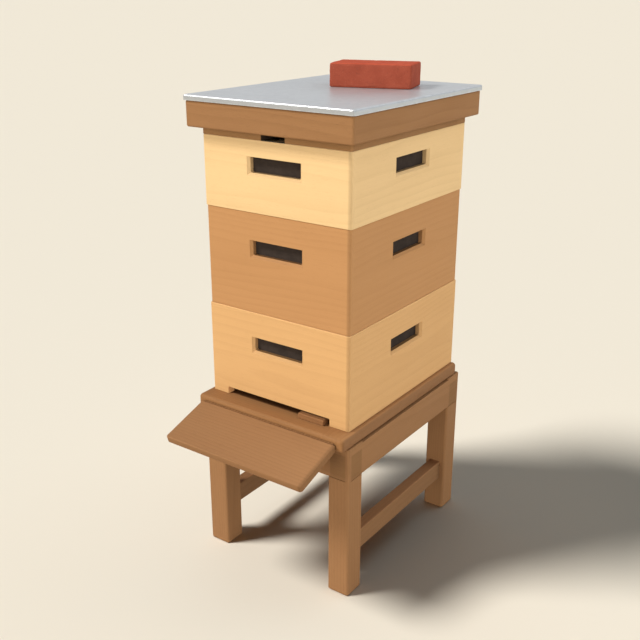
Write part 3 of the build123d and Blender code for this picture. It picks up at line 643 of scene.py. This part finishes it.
def comb_set(b, seed):
    """Ten combs in their frames. The two faces that can be seen from the sides carry cells."""
    lo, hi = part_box(f"{b}_combs")
    rnd = random.Random(seed)
    verts, faces = [], []
    for i in range(COMB_N):
        x = (i - (COMB_N - 1) / 2) * PITCH
        spans = []
        for out in (-1, 1):
            plane = x + out * COMB_T / 2
            if (i == 0 and out < 0) or (i == COMB_N - 1 and out > 0):
                spans.append(cells_on(verts, faces, plane, out, lo.y, hi.y, lo.z, hi.z, rnd))
            else:
                wavy_side(verts, faces, plane, out, lo.y, hi.y, lo.z, hi.z)
                spans.append(plane - out * 0.0026)
        a, c = spans
        base = len(verts)
        for px in (a, c):
            for y, z in ((lo.y, lo.z), (hi.y, lo.z), (hi.y, hi.z), (lo.y, hi.z)):
                verts.append((px, y, z))
        for f in ((0, 1, 2, 3), (4, 5, 6, 7), (0, 1, 5, 4), (1, 2, 6, 5), (2, 3, 7, 6), (3, 0, 4, 7)):
            faces.append(tuple(base + k for k in f))
    piece(f"{b}_comb_cells", verts, faces, wax(f"wax_{b}", seed), f"{b}_frames", f"{b}_combs")


for i, b in enumerate(("brood", "middle", "top")):
    comb_set(b, 840 + i)


# ---------------------------------------------------------------- roof metal
def sheet_metal(node):
    t = Tree("zinc_sheet")
    lo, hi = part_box(node)
    warp = t.noise(t.coord, 22.0, 2.0, 0.5)
    v = t.vec("ADD", t.coord, t.vec("SCALE", t.join(warp, warp, warp), scale=0.012))
    spangle = t.cells(v, 75.0, out="Color")
    sp, sq, sr = t.split(spangle)
    cloud = t.noise(t.coord, 5.0, 3.0, 0.55)
    scratch = t.noise(t.vec("MULTIPLY", t.coord, (900.0, 14.0, 900.0)), 1.0, 2.0, 0.5)
    scratch = t.fit(scratch, 0.68, 0.76)
    f = t.math("ADD", t.mul(sp, 0.35), t.mul(cloud, 0.65), clamp=True)
    col = t.mix(f, (0.53, 0.535, 0.535), (0.62, 0.625, 0.625))
    col = t.mix(t.mul(scratch, 0.30), col, (0.80, 0.80, 0.80))
    edge = t.mul(edge_mask(t, lo, hi, 0.0035), t.fit(t.noise(t.coord, 70.0, 2.0, 0.6), 0.40, 0.60))
    col = t.mix(t.mul(edge, 0.5), col, (0.84, 0.84, 0.835))
    x, y, z = t.split(t.coord)
    # painted shade on the folded-down lip: the front lip darker, the other lips darker and cooler
    lip_shade = out_of(t, z, hi.z - 0.0026, hi.z - 0.0014)
    ahead = out_of(t, t.math("SUBTRACT", y, lo.y), 0.0012, 0.0024)
    col = t.mix(t.mul(lip_shade, ahead), col, t.mix(1.0, col, (0.75, 0.745, 0.73), "MULTIPLY"))
    col = t.mix(t.mul(lip_shade, t.math("SUBTRACT", 1.0, ahead)), col, t.mix(1.0, col, (0.86, 0.89, 0.91), "MULTIPLY"))
    t.surface(col, t.add(0.28, t.mul(cloud, 0.10), t.mul(sq, 0.06), t.mul(scratch, 0.08)), metal=0.62, spec=0.5)
    t.bump(t.add(t.mul(cloud, 1.0), t.mul(sp, 0.06), t.mul(scratch, -0.05)), 0.0016, 0.5)
    give(node, t.mat)


sheet_metal("roof_metal_cap")


# ---------------------------------------------------------------- small ironware
def iron(node, base, rough, rust, seed, metal=0.85, spec=0.5):
    t = Tree("iron_" + node)
    r = random.Random(seed)
    v = t.vec("ADD", t.coord, (r.uniform(-3, 3), r.uniform(-3, 3), r.uniform(-3, 3)))
    spot = t.fit(t.noise(v, 240.0, 4.0, 0.65), 0.46, 0.66)
    fine = t.noise(v, 1300.0, 2.0, 0.6)
    col = t.mix(fine, tint(base, (0.85, 0.85, 0.85)), tint(base, (1.15, 1.15, 1.15)))
    col = t.mix(t.mul(spot, rust), col, (0.110, 0.045, 0.018))
    t.surface(col, t.add(rough, t.mul(fine, 0.15), t.mul(spot, 0.25)), t.add(metal, t.mul(spot, -metal * rust)),
              spec)
    t.bump(t.add(fine, t.mul(spot, 1.2)), 0.0002, 0.7)
    give(node, t.mat)


for i, n in enumerate(("hinge_leaf_fixed", "hinge_leaf_moving", "hinge_pin")):
    iron(n, (0.195, 0.090, 0.036), 0.70, 0.40, 900 + i, metal=0.05, spec=0.05)
for i, n in enumerate(("floor_screws", "landing_screws_fixed", "hinge_screws_moving", "roof_screws")):
    iron(n, (0.52, 0.50, 0.46), 0.32, 0.30, 910 + i)


# ---------------------------------------------------------------- brick
def fired_clay():
    t = Tree("fired_clay")
    speck = t.noise(t.coord, 420.0, 3.0, 0.7)
    blot = t.noise(t.coord, 26.0, 4.0, 0.6)
    sand = t.cells(t.coord, 330.0)
    pit = t.fit(t.noise(t.coord, 170.0, 2.0, 0.6), 0.60, 0.72)
    col = t.mix(t.fit(blot, 0.30, 0.70), (0.305, 0.0655, 0.0365), (0.268, 0.0545, 0.0303))
    col = t.mix(t.mul(t.fit(speck, 0.56, 0.72), 0.35), col, (0.52, 0.20, 0.12))
    col = t.mix(t.mul(t.fit(sand, 0.0, 0.22, 1.0, 0.0), 0.22), col, (0.16, 0.042, 0.028))
    col = t.mix(t.mul(pit, 0.45), col, (0.20, 0.050, 0.030))
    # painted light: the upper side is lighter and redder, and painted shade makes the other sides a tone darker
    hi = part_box("roof_brick")[1]
    top = t.fit(t.split(t.coord)[2], hi.z - 0.0042, hi.z - 0.0010)
    col = t.mix(top, t.mix(1.0, col, (0.87, 0.86, 0.83), "MULTIPLY"), t.mix(1.0, col, (1.31, 1.10, 0.97), "MULTIPLY"))
    t.surface(col, t.add(0.78, t.mul(speck, 0.18)), spec=0.10)
    t.bump(t.add(t.mul(speck, 0.5), t.mul(blot, 0.6), t.mul(pit, -1.0)), 0.0011, 0.6)
    return t.mat


def brick():
    """A pressed brick: rounded edges, slightly uneven faces, a few shallow pits and rubbed corners. Everything
    is taken off the plain block, so nothing sticks out of it."""
    lo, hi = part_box("roof_brick")
    turn = math.radians(17.5)
    half = (0.203 / 2, 0.107 / 2, (hi.z - lo.z) / 2)
    centre = (lo + hi) / 2
    r, step = 0.005, 0.0020
    verts, faces = [], []

    def skin(p):
        inner = Vector([min(max(v, -(h - r)), h - r) for v, h in zip(p, half)])
        d = p - inner
        n = d.normalized()
        q = inner + n * r
        corner = sum(1 for v in d if abs(v) > 0.0006)
        uneven = 0.0005 * (0.5 + 0.5 * noise.noise(q * 28.0))
        fine = 0.00018 * (0.5 + 0.5 * noise.noise(q * 260.0))
        pit = 0.0011 * max(0.0, noise.noise(q * 115.0 + Vector((4, 9, 2))) - 0.38)
        rub = 0.0022 * max(0.0, noise.noise(q * 46.0 + Vector((1, 5, 8))) - 0.18) if corner > 1 else 0.0
        off = uneven + fine + pit + rub
        if n.z < -0.7:
            off *= 0.2
        q = q - n * off
        return (centre.x + q.x * math.cos(turn) - q.y * math.sin(turn),
                centre.y + q.x * math.sin(turn) + q.y * math.cos(turn), centre.z + q.z)

    for axis in range(3):
        i, j = [k for k in range(3) if k != axis]
        ni, nj = round(2 * half[i] / step), round(2 * half[j] / step)
        for sign in (-1, 1):
            base = len(verts)
            for b in range(nj + 1):
                for a in range(ni + 1):
                    p = Vector((0, 0, 0))
                    p[axis] = sign * half[axis]
                    p[i] = -half[i] + 2 * half[i] * a / ni
                    p[j] = -half[j] + 2 * half[j] * b / nj
                    verts.append(skin(p))
            for b in range(nj):
                for a in range(ni):
                    k = base + b * (ni + 1) + a
                    faces.append((k, k + 1, k + ni + 2, k + ni + 1))
    piece("pressed_brick", verts, faces, fired_clay(), "brick_weight", "roof_brick", smooth=True)


brick()


# ---------------------------------------------------------------- floor of the studio
def studio_floor():
    size = 500.0
    me = bpy.data.meshes.new("studio_floor")
    me.from_pydata([(-size, -size, 0), (size, -size, 0), (size, size, 0), (-size, size, 0)], [], [(0, 1, 2, 3)])
    ob = bpy.data.objects.new("studio_floor", me)
    bpy.context.scene.collection.objects.link(ob)
    ob.location.z = -0.0002
    mat = bpy.data.materials.new("studio_floor")
    mat.use_nodes = True
    b = mat.node_tree.nodes["Principled BSDF"]
    b.inputs["Base Color"].default_value = (*FLOOR, 1)
    b.inputs["Roughness"].default_value = 0.95
    b.inputs["Specular IOR Level"].default_value = 0.0
    me.materials.append(mat)
    return ob


floor = studio_floor()


# ---------------------------------------------------------------- light and camera
def sun(name, energy, el, az, soft, colour=(1, 1, 1)):
    """A distant light at height el, turned az degrees from straight ahead (-Y): positive to the right."""
    data = bpy.data.lights.new(name, "SUN")
    data.energy = energy
    data.angle = math.radians(soft)
    data.color = colour
    ob = bpy.data.objects.new(name, data)
    e, a = math.radians(el), math.radians(az)
    towards = Vector((math.sin(a) * math.cos(e), -math.cos(a) * math.cos(e), math.sin(e)))
    ob.rotation_euler = towards.to_track_quat("Z", "Y").to_euler()
    bpy.context.scene.collection.objects.link(ob)
    return ob


# the object and the floor have their own lights, so that the object's sides are filled in while its shadow on
# the floor stays deep
no_floor = bpy.data.collections.new("object_lights_leave_floor_out")
no_floor.objects.link(floor)
for link in no_floor.collection_objects:
    link.light_linking.link_state = "EXCLUDE"
only_floor = bpy.data.collections.new("floor_lights")
only_floor.objects.link(floor)
for name, energy, el, az, soft, colour, lights_up in LIGHTS:
    light = sun(name, energy, el, az, soft, colour)
    light.light_linking.receiver_collection = only_floor if lights_up == "floor" else no_floor
    light.visible_glossy = name == "key"      # the fill lights leave no glints

world = bpy.data.worlds.new("studio")
world.use_nodes = True
bpy.context.scene.world = world
wt = world.node_tree
wt.nodes.clear()
w_out = wt.nodes.new("ShaderNodeOutputWorld")
w_even = wt.nodes.new("ShaderNodeBackground")
w_even.inputs["Color"].default_value = (1, 1, 1, 1)
w_even.inputs["Strength"].default_value = EVEN
w_seen = wt.nodes.new("ShaderNodeBackground")
w_seen.inputs["Color"].default_value = (*BACK, 1)
w_shine = wt.nodes.new("ShaderNodeBackground")
w_shine.inputs["Color"].default_value = (*SHEEN, 1)
w_soft = wt.nodes.new("ShaderNodeMixShader")
w_mix = wt.nodes.new("ShaderNodeMixShader")
w_path = wt.nodes.new("ShaderNodeLightPath")
wt.links.new(w_path.outputs["Is Glossy Ray"], w_soft.inputs[0])
wt.links.new(w_even.outputs[0], w_soft.inputs[1])
wt.links.new(w_shine.outputs[0], w_soft.inputs[2])
wt.links.new(w_path.outputs["Is Camera Ray"], w_mix.inputs[0])
wt.links.new(w_soft.outputs[0], w_mix.inputs[1])
wt.links.new(w_seen.outputs[0], w_mix.inputs[2])
wt.links.new(w_mix.outputs[0], w_out.inputs[0])

cam_data = bpy.data.cameras.new("photo_camera")
cam_data.lens = 50
cam_data.sensor_width = 36
cam_data.clip_end = 2000
cam = bpy.data.objects.new("photo_camera", cam_data)
cam.location = (1.219787, -1.792828 + MID_Y, 1.417949)
cam.rotation_euler = (math.radians(90 - 20.710), 0, math.radians(35.440))
bpy.context.scene.collection.objects.link(cam)
bpy.context.scene.camera = cam
bpy.context.scene.view_settings.view_transform = "Standard"
bpy.context.scene.view_settings.look = "None"
bpy.context.scene.view_settings.exposure = 0
bpy.context.scene.view_settings.gamma = 1
